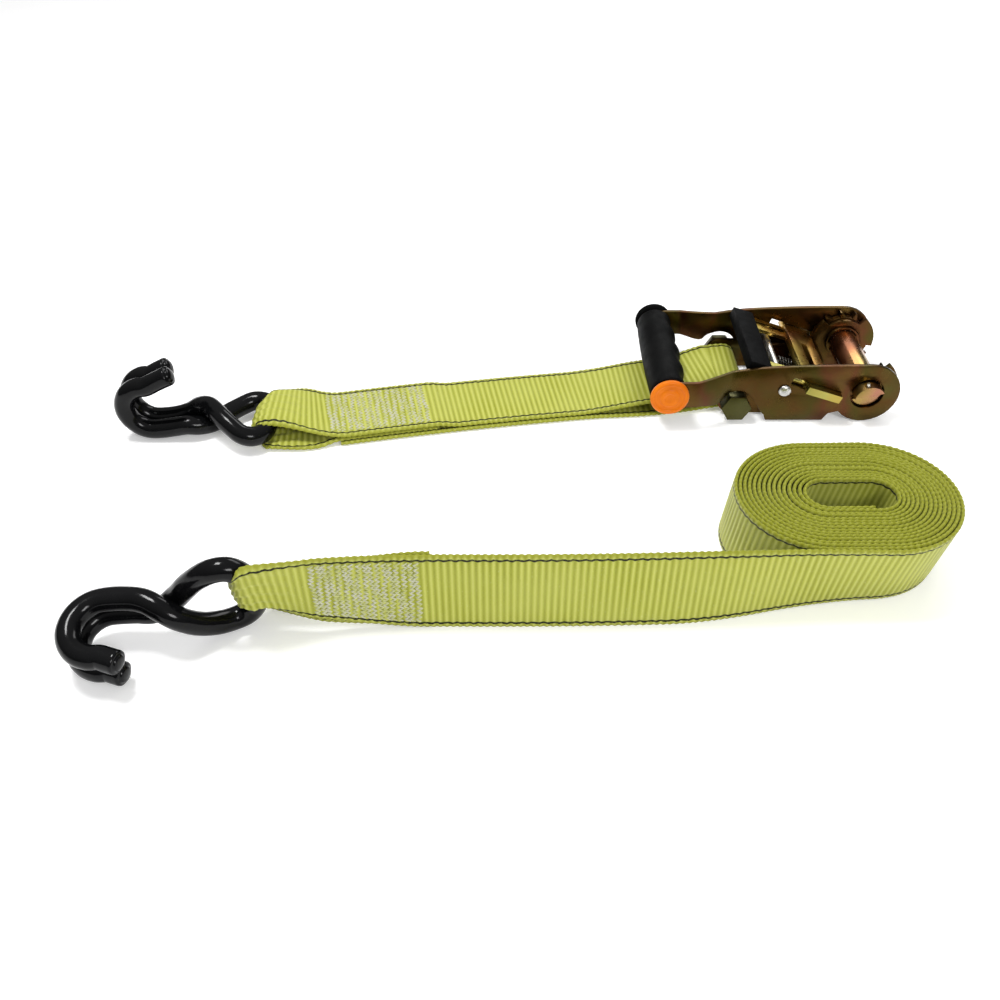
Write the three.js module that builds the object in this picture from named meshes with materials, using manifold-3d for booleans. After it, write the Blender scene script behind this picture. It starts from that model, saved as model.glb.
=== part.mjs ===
// A two inch ratchet tie down: the short fixed strap with the ratchet, and the long loose strap
// rolled up beside it. Both straps end in a coated double-J hook.
// Millimetres. +X runs along the straps from the hooks to the ratchet, +Y is away from the loose
// strap and +Z is up. The set lies on the plane Z = 0.

import * as THREE from 'three';
import { mergeVertices } from 'three/addons/utils/BufferGeometryUtils.js';
import Module from 'manifold-3d';

const wasm = await Module();
wasm.setup();

// ---------------------------------------------------------------- driving dimensions

const GAP = 0.3; // clearance between pieces that touch
const RAD = Math.PI / 180;

const WEB_WIDTH = 50; // two inch webbing
const WEB_THICK = 2.1;

// Ratchet. Its own axes start on the mandrel's axis, in the middle of its width.
const MANDREL_X = 230.6;
const MANDREL_HEIGHT = 21;
const RATCHET_Y = 104.5;

const RIM_RADIUS = 21; // rim of the frame's side plates around the mandrel
const LOW_RIM_RADIUS = 15.2; // the same rim where the wheel's teeth stand clear of it
const FRAME_INNER = 26.3; // half the clear width between the frame's side plates
const FRAME_SHEET = 2.7;
const FRAME_OUTER = FRAME_INNER + FRAME_SHEET;
const FRAME_BASE = -20; // underside of the frame's floor
const FLOOR_LEFT = -62;
const FLOOR_RIGHT = -24;

const WHEEL_INNER = 29.5;
const WHEEL_THICK = 4;
const WHEEL_TIP = 19.6;
const WHEEL_ROOT = 15.8;
const TEETH = 12;
const TOOTH_START = 11; // degrees from +X to the steep face of the first tooth

const HANDLE_INNER = 34.5;
const HANDLE_SHEET = 3;
const HANDLE_OUTER = HANDLE_INNER + HANDLE_SHEET;
const HANDLE_END_RADIUS = 20.5;
const HANDLE_LOBE = -20; // lower edge of the plates beside the frame's floor
const FLARE = 8; // the plates stand this much further apart at the grip
const FLARE_START = -86;
const FLARE_END = -108;

const SHAFT_RADIUS = 9.3;
const SHAFT_SLOT = 5.5; // the strap passes between the two half shafts
const SHAFT_TURN = -15 * RAD; // the slot's tilt, rising to the right
const SHAFT_LONG = 44.5; // each half shaft stands out at one end and is sunk at the other
const SHAFT_SHORT = 36;
const SHAFT_PIN_RADIUS = 1; // retaining pin in the end of each half shaft, outside the handle
const SHAFT_PIN_INSET = 1.8;
const HUB_RADIUS = 11;
const BORE_RADIUS = HUB_RADIUS + GAP;

const BOLT_X = -81.2; // strap bolt, from the mandrel's axis
const BOLT_Z = -9.5;
const BOLT_RADIUS = 5;
const BOLT_HEX = 16.5; // across flats
const BOLT_COLLAR = 4; // plain part of the head, inside the handle plate's arch
const BOLT_HEAD = 11;
const NUT_LENGTH = 7;
const SLEEVE_RADIUS = 6.5;
const BOLT_END_RADIUS = 10.5; // rounded end of the frame about the bolt
const BOLT_ARCH = 11.6; // arch of the handle plates over the bolt's head

const GRIP_X = -125.6;
const GRIP_Z = 4;
const GRIP_RADIUS = 12.3;
const GRIP_BULGE = 1;
const GRIP_WAVE = 0.9; // finger waves on the side that faces the mandrel
const GRIP_WAVES = 4;
const GRIP_HALF = HANDLE_INNER + FLARE - GAP;
const GRIP_EYE = 8.7; // rounded end of the handle plates about the grip's bolt
const GRIP_BOLT = 3;
const BOLT_CAP = 4.6; // radius of the grip bolt's low head and nut
const BOLT_CAP_LENGTH = 1.6;
const CAP_RADIUS = 12;
const CAP_LENGTH = 3;

const PIN_X = -52.2; // cross pin of the handle, the seat of the drive pawl's spring
const PIN_Z = 2.6;
const PIN_RADIUS = 2.5;
const PIN_HEAD = 4;
const PIN_HEAD_LENGTH = 1.8;

// The drive pawl slides along a line that passes 6.7 mm below the mandrel's axis.
const PAWL_SLOPE = 18.7 * RAD;
const PAWL_OFFSET = -6.7;
const PAWL_SHEET = 5;
const PAWL_TIP = 21; // distance along the line from the axis's foot to the plate's edge
const EAR_TIP = 16.3;
const EAR_TAIL = 39.6;
const EAR_REACH = 8.6; // how far the ears stand out from the inside of the handle plates
const EAR_ROOT = 0.6; // and how far they reach back in to the plate
const PAWL_TRAVEL = 8;
const PAWL_BACK = 39.5;
const ARM_END = 72;
const ARMS = [[20, 25.6], [30, 33.9]]; // the arms' edges, out from the middle, on each side
const ARM_HALF = 1.25; // half the arms' thickness

// The lock pawl slides straight at the mandrel's axis, in slots of the frame.
const LOCK_SLOPE = 20 * RAD;
const LOCK_TIP = 16.2;
const LOCK_BACK = 29.2;
const LOCK_SHEET = 3.2;
const LOCK_TRAVEL = 6;
const LOCK_HALF = 33.9;

// Hooks, in their own axes: u towards the webbing, w along the eye's bar, n out of the eye's plane.
const WIRE_RADIUS = 6.1; // coated
const CORE_RADIUS = 4.2;
const CORE_GAP = 0.5;
const EYE_HALF = 20.7; // half the eye's width between wire centres
const CROSS_U = -36;
const STRAND_STEP = 6.4; // height of each strand above and below the other where they cross
const SHANK_BOW = 5.2; // the shank bows up between the eye's bar and the bend
const BEND_U = -70;
const BEND_DROP = 3; // the bend lies this much lower than the bar
const BEND_RADIUS = 15.8;
const TIP_SIDE = 6.4; // the two tips lie side by side
const TIP_FLARE = 27 * RAD;
const HOOK_STEPS = 56;

// Where the hooks' bars lie. The second hook stands on the side of its eye and leans until its
// tips nearly touch the ground.
const HOOK_A = { x: -145, y: 56.8, z: BEND_DROP + WIRE_RADIUS + 0.1 };
const HOOK_B = { x: -123, y: -112.5, z: 27.7, roll: 14 * RAD, pitch: -5 * RAD, yaw: 8 * RAD };
const TIPS_A = { over: 14.5, under: 19 }; // length of the tip of the strand that crosses over, and under
const TIPS_B = { over: 11, under: 9.5 };
const EYE_CLEARANCE = 0.9; // between the bar and the webbing around it
const EYE_WEB_HALF = 9; // half the width of the webbing gathered in the eye
const STRAP_BOW = 23; // the fixed strap lies in a shallow curve

// Rolled strap: a stadium of turns about a slot, leaning towards the near side.
const LEAN_START = 85; // the loose strap begins to lean here, and leans as the roll does from there on
const LEAN_END = 205;
const COIL = { x: 179.5, y: -63, straight: 14.5, outer: 42.6, inner: 9.8, height: 48, lean: 15 };

// ---------------------------------------------------------------- solids

function toSolid(geometry) {
  const bare = geometry.clone();
  bare.deleteAttribute('normal');
  bare.deleteAttribute('uv');
  const merged = mergeVertices(bare, 1e-4);
  return new wasm.Manifold(new wasm.Mesh({
    numProp: 3,
    vertProperties: new Float32Array(merged.attributes.position.array),
    triVerts: new Uint32Array(merged.index.array),
  }));
}

function toGeometry(solid) {
  const mesh = solid.getMesh();
  const geometry = new THREE.BufferGeometry();
  geometry.setAttribute('position', new THREE.BufferAttribute(new Float32Array(mesh.vertProperties), 3));
  geometry.setIndex(new THREE.BufferAttribute(new Uint32Array(mesh.triVerts), 1));
  return geometry;
}

function join(...geometries) {
  return toGeometry(geometries.map(toSolid).reduce((a, b) => a.add(b)));
}

function cut(geometry, ...tools) {
  return toGeometry(tools.map(toSolid).reduce((a, b) => a.subtract(b), toSolid(geometry)));
}

function common(geometry, tool) {
  return toGeometry(toSolid(geometry).intersect(toSolid(tool)));
}

// Sheet of an outline drawn in X and Z, from y0 to y1.
function sheet(shape, y0, y1, curveSegments = 10) {
  const geometry = new THREE.ExtrudeGeometry(shape, {
    depth: y1 - y0, bevelEnabled: false, curveSegments,
  });
  return geometry.rotateX(Math.PI / 2).translate(0, y1, 0);
}

// Round bar along Y.
function bar(radius, y0, y1, x = 0, z = 0, sides = 20) {
  const geometry = new THREE.CylinderGeometry(radius, radius, y1 - y0, sides);
  return geometry.translate(x, (y0 + y1) / 2, z);
}

function block(x0, x1, y0, y1, z0, z1) {
  const geometry = new THREE.BoxGeometry(x1 - x0, y1 - y0, z1 - z0);
  return geometry.translate((x0 + x1) / 2, (y0 + y1) / 2, (z0 + z1) / 2);
}

function sweep(path, radius, sides, steps) {
  const section = new THREE.Shape();
  for (let i = 0; i < sides; i += 1) {
    const angle = (i / sides) * 2 * Math.PI;
    const point = [radius * Math.cos(angle), radius * Math.sin(angle)];
    if (i === 0) section.moveTo(...point);
    else section.lineTo(...point);
  }
  section.closePath();
  return new THREE.ExtrudeGeometry(section, { steps, extrudePath: path, bevelEnabled: false });
}

function circleHole(x, z, radius) {
  const hole = new THREE.Path();
  hole.absarc(x, z, radius, 0, 2 * Math.PI, true);
  return hole;
}

function polygon(points) {
  return new THREE.Shape(points.map(([x, z]) => new THREE.Vector2(x, z)));
}

function polar(radius, degrees, x = 0, z = 0) {
  return [x + radius * Math.cos(degrees * RAD), z + radius * Math.sin(degrees * RAD)];
}

const group = (...children) => {
  const made = new THREE.Group();
  children.forEach((child) => made.add(child));
  return made;
};

function piece(name, geometry, material) {
  const mesh = new THREE.Mesh(geometry, material.clone());
  mesh.name = name;
  return mesh;
}

function look(color, roughness, metalness) {
  return new THREE.MeshStandardMaterial({ color, roughness, metalness });
}

const zinc = look(0xa8975a, 0.38, 0.9);
const brightZinc = look(0xc8b45c, 0.3, 0.95);
const oliveZinc = look(0x7f8052, 0.4, 0.9);
const steel = look(0xb9b9b4, 0.3, 1);
const blackPlastic = look(0x3c3d40, 0.6, 0);
const orangePlastic = look(0xee8a20, 0.45, 0);
const blackVinyl = look(0x0c0d0e, 0.18, 0);
const webbing = look(0xb9bb55, 0.85, 0);

// ---------------------------------------------------------------- pawl lines

// Turns distances along and across the drive pawl's line into X and Z.
function alongPawl(along, across = 0) {
  const offset = PAWL_OFFSET + across;
  return [
    offset * Math.sin(PAWL_SLOPE) - along * Math.cos(PAWL_SLOPE),
    offset * Math.cos(PAWL_SLOPE) + along * Math.sin(PAWL_SLOPE),
  ];
}

function alongLock(along, across = 0) {
  return [
    -along * Math.cos(LOCK_SLOPE) - across * Math.sin(LOCK_SLOPE),
    -along * Math.sin(LOCK_SLOPE) + across * Math.cos(LOCK_SLOPE),
  ];
}

function strip(along, from, to, half, middle = 0) {
  return polygon([
    along(from, middle - half), along(to, middle - half),
    along(to, middle + half), along(from, middle + half),
  ]);
}

// ---------------------------------------------------------------- frame

function framePlateOutline() {
  const outline = new THREE.Shape();
  const bend = (from, to, radius) => outline.absarc(0, 0, radius, from * RAD, to * RAD, false);
  outline.moveTo(BOLT_X, FRAME_BASE);
  outline.lineTo(FLOOR_RIGHT + 1, FRAME_BASE);
  outline.lineTo(-20, -16.5);
  bend(-130, -27, RIM_RADIUS);
  outline.lineTo(...polar(17.5, -26)); // notch that holds the open handle
  outline.lineTo(...polar(17.5, -12));
  bend(-11, 50, RIM_RADIUS);
  bend(52, 133, LOW_RIM_RADIUS);
  bend(135, 188, RIM_RADIUS);
  outline.lineTo(-24, -3.6);
  outline.lineTo(-45, -3.2);
  outline.lineTo(-68, 0.2);
  outline.absarc(BOLT_X, BOLT_Z, BOLT_END_RADIUS, 75 * RAD, 270 * RAD, false);
  outline.holes.push(circleHole(0, 0, BORE_RADIUS));
  outline.holes.push(circleHole(BOLT_X, BOLT_Z, BOLT_RADIUS + GAP));
  const slot = LOCK_SHEET / 2 + GAP;
  outline.holes.push(strip(alongLock, LOCK_TIP - GAP, LOCK_BACK + LOCK_TRAVEL + GAP, slot));
  return outline;
}

function frameChannel() {
  const floorTop = FRAME_BASE + FRAME_SHEET;
  const floor = block(FLOOR_LEFT, FLOOR_RIGHT, -FRAME_INNER - 1, FRAME_INNER + 1, FRAME_BASE, floorTop);
  const springLug = block(-42, -39.5, -8, 8, FRAME_BASE + 1, -9);
  const plate = framePlateOutline();
  return join(
    sheet(plate, -FRAME_OUTER, -FRAME_INNER),
    sheet(plate, FRAME_INNER, FRAME_OUTER),
    floor,
    springLug,
  );
}

function hexagon(acrossFlats, x, z, turn = 0) {
  const radius = acrossFlats / Math.sqrt(3);
  return polygon([0, 60, 120, 180, 240, 300].map((a) => polar(radius, a + turn, x, z)));
}

function strapBolt() {
  const seat = -FRAME_OUTER - GAP;
  return join(
    bar(BOLT_HEX / 2, seat - BOLT_COLLAR - 0.5, seat, BOLT_X, BOLT_Z),
    sheet(hexagon(BOLT_HEX, BOLT_X, BOLT_Z), seat - BOLT_HEAD, seat - BOLT_COLLAR),
    bar(BOLT_RADIUS, seat - 1, FRAME_OUTER + NUT_LENGTH + 2, BOLT_X, BOLT_Z),
  );
}

function strapBoltNut() {
  const seat = FRAME_OUTER + GAP;
  const nut = sheet(hexagon(BOLT_HEX, BOLT_X, BOLT_Z), seat, seat + NUT_LENGTH);
  return cut(nut, bar(BOLT_RADIUS + GAP, FRAME_OUTER - 1, FRAME_OUTER + 12, BOLT_X, BOLT_Z));
}

function boltSleeve() {
  const half = FRAME_INNER - GAP;
  return cut(
    bar(SLEEVE_RADIUS, -half, half, BOLT_X, BOLT_Z),
    bar(BOLT_RADIUS + GAP, -half - 1, half + 1, BOLT_X, BOLT_Z),
  );
}

function lockPawl() {
  return sheet(strip(alongLock, LOCK_TIP, LOCK_BACK, LOCK_SHEET / 2), -LOCK_HALF, LOCK_HALF);
}

class Helix extends THREE.Curve {
  constructor(start, end, radius, turns) {
    super();
    this.start = start;
    this.axis = end.clone().sub(start);
    this.side = new THREE.Vector3(0, 1, 0);
    this.other = this.axis.clone().normalize().cross(this.side);
    this.radius = radius;
    this.turns = turns;
  }

  getPoint(t, target = new THREE.Vector3()) {
    const angle = t * this.turns * 2 * Math.PI;
    return target.copy(this.start)
      .addScaledVector(this.axis, t)
      .addScaledVector(this.side, this.radius * Math.cos(angle))
      .addScaledVector(this.other, this.radius * Math.sin(angle));
  }
}

function spring(from, to, radius, turns) {
  const point = ([x, z]) => new THREE.Vector3(x, 0, z);
  return sweep(new Helix(point(from), point(to), radius, turns), 0.4, 6, turns * 10);
}

// ---------------------------------------------------------------- mandrel

function pinThroughShaft(radius, from, to, upper) {
  const pin = new THREE.CylinderGeometry(radius, radius, to - from, 10).rotateX(Math.PI / 2);
  const turn = SHAFT_TURN + (upper ? 0 : Math.PI);
  const y = (SHAFT_LONG - SHAFT_PIN_INSET) * (upper ? -1 : 1);
  return pin.translate(0, 0, (from + to) / 2).rotateY(turn).translate(0, y, 0);
}

function halfShaft(upper) {
  const edge = Math.asin(SHAFT_SLOT / 2 / SHAFT_RADIUS);
  const outline = new THREE.Shape();
  outline.absarc(0, 0, SHAFT_RADIUS, edge, Math.PI - edge, false);
  const y0 = upper ? -SHAFT_LONG : -SHAFT_SHORT;
  const y1 = upper ? SHAFT_SHORT : SHAFT_LONG;
  const half = sheet(outline, y0, y1, 12).rotateY(SHAFT_TURN + (upper ? 0 : Math.PI));
  return cut(half, pinThroughShaft(SHAFT_PIN_RADIUS + GAP, 0, SHAFT_RADIUS + 2, upper));
}

function shaftPin(upper) {
  return pinThroughShaft(SHAFT_PIN_RADIUS, SHAFT_SLOT / 2 + GAP, SHAFT_RADIUS + 2.4, upper);
}

function toothedOutline() {
  const pitch = 360 / TEETH;
  const points = [];
  for (let i = 0; i < TEETH; i += 1) {
    const face = TOOTH_START + i * pitch;
    points.push(polar(WHEEL_ROOT, face + 1), polar(WHEEL_ROOT, face + 9), polar(WHEEL_ROOT, face + 17));
    points.push(polar(WHEEL_TIP, face + pitch - 3), polar(WHEEL_TIP, face + pitch));
  }
  return polygon(points);
}

// Wheel with a hub that turns in the frame's bore. Two D-shaped holes key it to the half shafts.
function ratchetWheel(far) {
  const hub = bar(HUB_RADIUS, FRAME_INNER - 2, WHEEL_INNER + 0.5, 0, 0, 24);
  const body = join(sheet(toothedOutline(), WHEEL_INNER, WHEEL_INNER + WHEEL_THICK), hub);
  const edge = Math.asin((SHAFT_SLOT / 2 - GAP) / (SHAFT_RADIUS + GAP));
  const tools = [0, Math.PI].map((turn) => {
    const hole = new THREE.Shape();
    hole.absarc(0, 0, SHAFT_RADIUS + GAP, edge, Math.PI - edge, false);
    return sheet(hole, FRAME_INNER - 5, WHEEL_INNER + WHEEL_THICK + 2, 12).rotateY(SHAFT_TURN + turn);
  });
  const made = cut(body, ...tools);
  return far ? made : flipped(made);
}

// Mirror image about the plane Y = 0.
function flipped(geometry) {
  const made = geometry.clone().scale(1, -1, 1);
  const index = made.index.array;
  for (let i = 0; i < index.length; i += 3) {
    [index[i], index[i + 1]] = [index[i + 1], index[i]];
  }
  return made;
}

// ---------------------------------------------------------------- handle

function handlePlateOutline() {
  const outline = new THREE.Shape();
  outline.moveTo(0, HANDLE_END_RADIUS);
  outline.bezierCurveTo(-30, 20.5, -60, 19.5, -72, 18);
  outline.bezierCurveTo(-84, 16.3, -98, 13, -110, GRIP_Z + GRIP_EYE);
  outline.absarc(GRIP_X, GRIP_Z, GRIP_EYE, 90 * RAD, 270 * RAD, false);
  outline.lineTo(-106, GRIP_Z - GRIP_EYE);
  outline.bezierCurveTo(-98, -6, -95, -7, -92.8, -5.5);
  outline.absarc(BOLT_X, BOLT_Z, BOLT_ARCH, 155 * RAD, 40 * RAD, true);
  outline.bezierCurveTo(-68, -8, -65, -14, -62.5, -16);
  outline.lineTo(-61, HANDLE_LOBE);
  outline.lineTo(-25, HANDLE_LOBE);
  outline.lineTo(-22, -15);
  outline.absarc(0, 0, HANDLE_END_RADIUS, -140 * RAD, 90 * RAD, false);
  outline.holes.push(circleHole(0, 0, SHAFT_RADIUS + 1.3));
  outline.holes.push(circleHole(GRIP_X, GRIP_Z, GRIP_BOLT + GAP));
  outline.holes.push(circleHole(PIN_X, PIN_Z, PIN_RADIUS + GAP));
  const slotEnd = EAR_TAIL + PAWL_TRAVEL + GAP + 1;
  outline.holes.push(strip(alongPawl, EAR_TIP - GAP, slotEnd, PAWL_SHEET / 2 + GAP));
  return outline;
}

// Side view of the plate's bend outwards, from above: a band of the sheet's thickness.
function handleBend() {
  const run = [[RIM_RADIUS + 5, 0], [FLARE_START, 0], [FLARE_END, FLARE], [GRIP_X - GRIP_EYE - 5, FLARE]];
  const inside = run.map(([x, out]) => [x, HANDLE_INNER + out]);
  const outside = run.map(([x, out]) => [x, HANDLE_OUTER + out]).reverse();
  const depth = 2 * RIM_RADIUS + 10;
  const band = new THREE.ExtrudeGeometry(polygon([...inside, ...outside]), { depth, bevelEnabled: false });
  return band.translate(0, 0, -depth / 2);
}

function handlePlate(far) {
  const prism = sheet(handlePlateOutline(), HANDLE_INNER - 1, HANDLE_OUTER + FLARE + 1);
  const plate = common(prism, handleBend());
  return far ? plate : flipped(plate);
}

function crossPin() {
  const head = HANDLE_OUTER + GAP;
  return join(
    bar(PIN_RADIUS, -head - 1, head + 1, PIN_X, PIN_Z, 16),
    bar(PIN_HEAD, -head - PIN_HEAD_LENGTH, -head, PIN_X, PIN_Z, 16),
    bar(PIN_HEAD, head, head + PIN_HEAD_LENGTH, PIN_X, PIN_Z, 16),
  );
}

// Moulded grip. It is thickest in the middle, with finger waves on the side that faces the mandrel.
function gripSleeve() {
  const profile = [new THREE.Vector2(0, -GRIP_HALF)];
  const steps = 24;
  for (let i = 0; i <= steps; i += 1) {
    const y = GRIP_HALF * (2 * i / steps - 1);
    const bulge = GRIP_BULGE * (1 - (y / GRIP_HALF) ** 2);
    profile.push(new THREE.Vector2(GRIP_RADIUS - GRIP_BULGE + bulge, y));
  }
  profile.push(new THREE.Vector2(0, GRIP_HALF));
  const body = new THREE.LatheGeometry(profile, 24);
  const place = body.attributes.position;
  for (let i = 0; i < place.count; i += 1) {
    const facing = Math.max(0, place.getX(i) / GRIP_RADIUS);
    const wave = Math.cos(GRIP_WAVES * Math.PI * place.getY(i) / GRIP_HALF) - 1;
    place.setX(i, place.getX(i) + GRIP_WAVE * facing * wave);
  }
  const bore = bar(GRIP_BOLT + GAP, -GRIP_HALF - 1, GRIP_HALF + 1, GRIP_X, GRIP_Z, 16);
  return cut(body.translate(GRIP_X, 0, GRIP_Z), bore);
}

// The head and the nut of the grip's bolt lie flat on the outside of the handle plates.
const GRIP_SEAT = HANDLE_OUTER + FLARE + GAP;

function gripBolt() {
  return join(
    bar(GRIP_BOLT, -GRIP_SEAT - 0.5, GRIP_SEAT + BOLT_CAP_LENGTH, GRIP_X, GRIP_Z, 16),
    bar(BOLT_CAP, -GRIP_SEAT - BOLT_CAP_LENGTH, -GRIP_SEAT, GRIP_X, GRIP_Z, 16),
  );
}

function gripNut() {
  const nut = bar(BOLT_CAP, GRIP_SEAT, GRIP_SEAT + BOLT_CAP_LENGTH, GRIP_X, GRIP_Z, 16);
  return cut(nut, bar(GRIP_BOLT + GAP, GRIP_SEAT - 1, GRIP_SEAT + 6, GRIP_X, GRIP_Z, 16));
}

// Round cap with three concentric rings on its face. Its pocket holds the bolt's head or nut.
function gripCap(far) {
  const outer = GRIP_SEAT + CAP_LENGTH;
  const pocket = GRIP_SEAT + BOLT_CAP_LENGTH + GAP;
  const rings = [
    [0, pocket], [BOLT_CAP + GAP, pocket], [BOLT_CAP + GAP, GRIP_SEAT], [CAP_RADIUS, GRIP_SEAT],
    [CAP_RADIUS, outer - 0.9], [CAP_RADIUS - 1, outer - 0.2], [9.6, outer], [9, outer - 0.6],
    [6.4, outer - 0.6], [5.8, outer], [3.4, outer], [2.8, outer - 0.5], [0, outer - 0.5],
  ];
  const profile = rings.map(([radius, y]) => new THREE.Vector2(radius, y));
  const cap = new THREE.LatheGeometry(profile, 28).translate(GRIP_X, 0, GRIP_Z);
  return toGeometry(toSolid(far ? cap : flipped(cap)));
}

// ---------------------------------------------------------------- drive pawl

function drivePawlPlate() {
  const half = PAWL_SHEET / 2;
  const inside = HANDLE_INNER - GAP - 0.3;
  const plate = sheet(strip(alongPawl, PAWL_TIP, PAWL_BACK, half), -inside, inside);
  const earMiddle = HANDLE_INNER + (EAR_REACH - EAR_ROOT) / 2;
  const earHalf = (EAR_REACH + EAR_ROOT) / 2;
  const ears = [-earMiddle, earMiddle].map((y) => {
    return sheet(strip(alongPawl, EAR_TIP, EAR_TAIL, half), y - earHalf, y + earHalf);
  });
  const arms = [];
  [-1, 1].forEach((side) => {
    ARMS.forEach(([from, to]) => {
      const y0 = side > 0 ? from : -to;
      const outline = strip(alongPawl, PAWL_BACK - 1, ARM_END, ARM_HALF, -ARM_HALF);
      arms.push(sheet(outline, y0, y0 + to - from));
    });
  });
  const springTab = sheet(strip(alongPawl, 33.2, 35.7, 4.2, -6.4), -6, 6);
  const window = sheet(strip(alongPawl, 28, 32, half + 1), -13, 13);
  return cut(join(plate, ...ears, ...arms, springTab), window);
}

function fingerPull() {
  const reach = HANDLE_INNER - 0.9;
  const outline = strip(alongPawl, ARM_END - 8, ARM_END + 6, 3.4, 0);
  const body = sheet(outline, -reach, reach);
  const inner = ARMS[0][0] - GAP;
  const pockets = [[-reach - 1, -inner], [inner, reach + 1]].map(([y0, y1]) => {
    return sheet(strip(alongPawl, ARM_END - 9, ARM_END + GAP, ARM_HALF + GAP, -ARM_HALF), y0, y1);
  });
  return cut(body, ...pockets);
}

// ---------------------------------------------------------------- hooks

// Height of the middle of the shank. It leaves the bar and meets the bend level.
function shankHeight(u) {
  const t = u / BEND_U;
  return -BEND_DROP * THREE.MathUtils.smoothstep(t, 0, 1) + SHANK_BOW * Math.sin(Math.PI * t) ** 2;
}

// Half of the wire, from the middle of the eye's bar to one tip. The strand that starts on side s
// crosses to the other side of the hook, above or below the other strand.
function strandPoints(s, over, tips) {
  const rise = over ? STRAND_STEP : -STRAND_STEP;
  const shank = [
    [0, 0, 0], [0, s * 10, 0], [-2.1, s * 15.9, 0], [-7, s * (EYE_HALF - 0.7), 0.1],
    [-13, s * (EYE_HALF - 0.4), 0.25], [-20, s * (EYE_HALF - 4.5), 0.6], [-28, s * 9, 0.92],
    [CROSS_U, 0, 1], [-43, -s * 4.9, 0.6], [-50, -s * TIP_SIDE, 0.12], [-58, -s * TIP_SIDE, 0],
  ].map(([u, w, share]) => [u, w, shankHeight(u) + rise * share]);
  const bend = [-80, -55, -30, -5, 20, 45, 70, 90].map((degrees) => {
    const [u, n] = polar(BEND_RADIUS, degrees);
    return [BEND_U - u, -s * TIP_SIDE, BEND_RADIUS + n - BEND_DROP];
  });
  const tip = [0.35, 1].map((part) => {
    const [u, n] = polar((over ? tips.over : tips.under) * part, TIP_FLARE / RAD);
    return [BEND_U + u, -s * TIP_SIDE, 2 * BEND_RADIUS + n - BEND_DROP];
  });
  return [...shank, ...bend, ...tip];
}

function hookPath(tips) {
  const points = [...strandPoints(-1, true, tips).reverse(), ...strandPoints(1, false, tips).slice(1)];
  return new THREE.CatmullRomCurve3(
    points.map(([u, w, n]) => new THREE.Vector3(u, w, n)),
    false,
    'centripetal',
  );
}

// The same shape about each tip's end, turned with its flare.
function atTips(tips, makeShape) {
  return [[tips.over, TIP_SIDE], [tips.under, -TIP_SIDE]].map(([length, w]) => {
    const u = BEND_U + length * Math.cos(TIP_FLARE);
    const n = 2 * BEND_RADIUS + length * Math.sin(TIP_FLARE) - BEND_DROP;
    return makeShape().rotateY(-TIP_FLARE).translate(u, w, n);
  });
}

function hookCore(tips) {
  const ends = atTips(tips, () => new THREE.BoxGeometry(4, 2 * TIP_SIDE - 1, 20));
  return cut(sweep(hookPath(tips), CORE_RADIUS, 6, HOOK_STEPS), ...ends);
}

// The coat is open at the two tips, where the wire inside ends a little short.
function hookCoat(tips) {
  const bore = sweep(hookPath(tips), CORE_RADIUS + CORE_GAP, 6, HOOK_STEPS);
  const mouths = atTips(tips, () => {
    return new THREE.CylinderGeometry(CORE_RADIUS, CORE_RADIUS, 5, 12).rotateZ(Math.PI / 2);
  });
  return cut(sweep(hookPath(tips), WIRE_RADIUS, 10, HOOK_STEPS), bore, ...mouths);
}

// ---------------------------------------------------------------- webbing

// Fixed strap: sewn flat where its layers touch, open around the sleeve and around the hook's bar.
function fixedStrap() {
  const bolt = { x: MANDREL_X + BOLT_X, z: MANDREL_HEIGHT + BOLT_Z };
  const loop = SLEEVE_RADIUS + GAP;
  const eye = WIRE_RADIUS + EYE_CLEARANCE;
  const outline = new THREE.Shape();
  outline.moveTo(bolt.x, bolt.z - loop - WEB_THICK);
  outline.absarc(bolt.x, bolt.z, loop + WEB_THICK, -Math.PI / 2, Math.PI / 2, false);
  outline.bezierCurveTo(130, 19.5, 124, 11.9, 104, 11.6);
  outline.bezierCurveTo(80, 10.5, 70, 4.9, 45, 4.6);
  outline.lineTo(-85, 4.6);
  outline.bezierCurveTo(-105, 4.8, -120, HOOK_A.z + 4, ...polar(eye + WEB_THICK, 70, HOOK_A.x, HOOK_A.z));
  outline.absarc(HOOK_A.x, HOOK_A.z, eye + WEB_THICK, 70 * RAD, 290 * RAD, false);
  outline.bezierCurveTo(-125, 1, -110, 0.2, -90, 0.2);
  outline.lineTo(100, 0.2);
  outline.bezierCurveTo(120, 0.2, 130, 1.6, bolt.x, bolt.z - loop - WEB_THICK);

  const gape = new THREE.Path();
  gape.moveTo(bolt.x, bolt.z - loop);
  gape.absarc(bolt.x, bolt.z, loop, -Math.PI / 2, Math.PI / 2, false);
  gape.bezierCurveTo(130, 17.2, 124, 9.8, 104, 9.5);
  gape.bezierCurveTo(84, 8.4, 74, 4, 60, 2.5);
  gape.bezierCurveTo(80, 2.4, 100, 2.3, 104, 2.3);
  gape.bezierCurveTo(120, 2.3, 130, 3.6, bolt.x, bolt.z - loop);
  outline.holes.push(gape);
  outline.holes.push(circleHole(HOOK_A.x, HOOK_A.z, eye));

  const geometry = sheet(outline, -WEB_WIDTH / 2, WEB_WIDTH / 2, 8);
  const place = geometry.attributes.position;
  for (let i = 0; i < place.count; i += 1) {
    const x = place.getX(i);
    const gather = THREE.MathUtils.smoothstep(x, HOOK_A.x + 10, HOOK_A.x + 42);
    const narrow = THREE.MathUtils.lerp(2 * EYE_WEB_HALF / WEB_WIDTH, 1, gather);
    place.setY(i, strapMiddle(x) + place.getY(i) * narrow);
  }
  return geometry;
}

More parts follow.
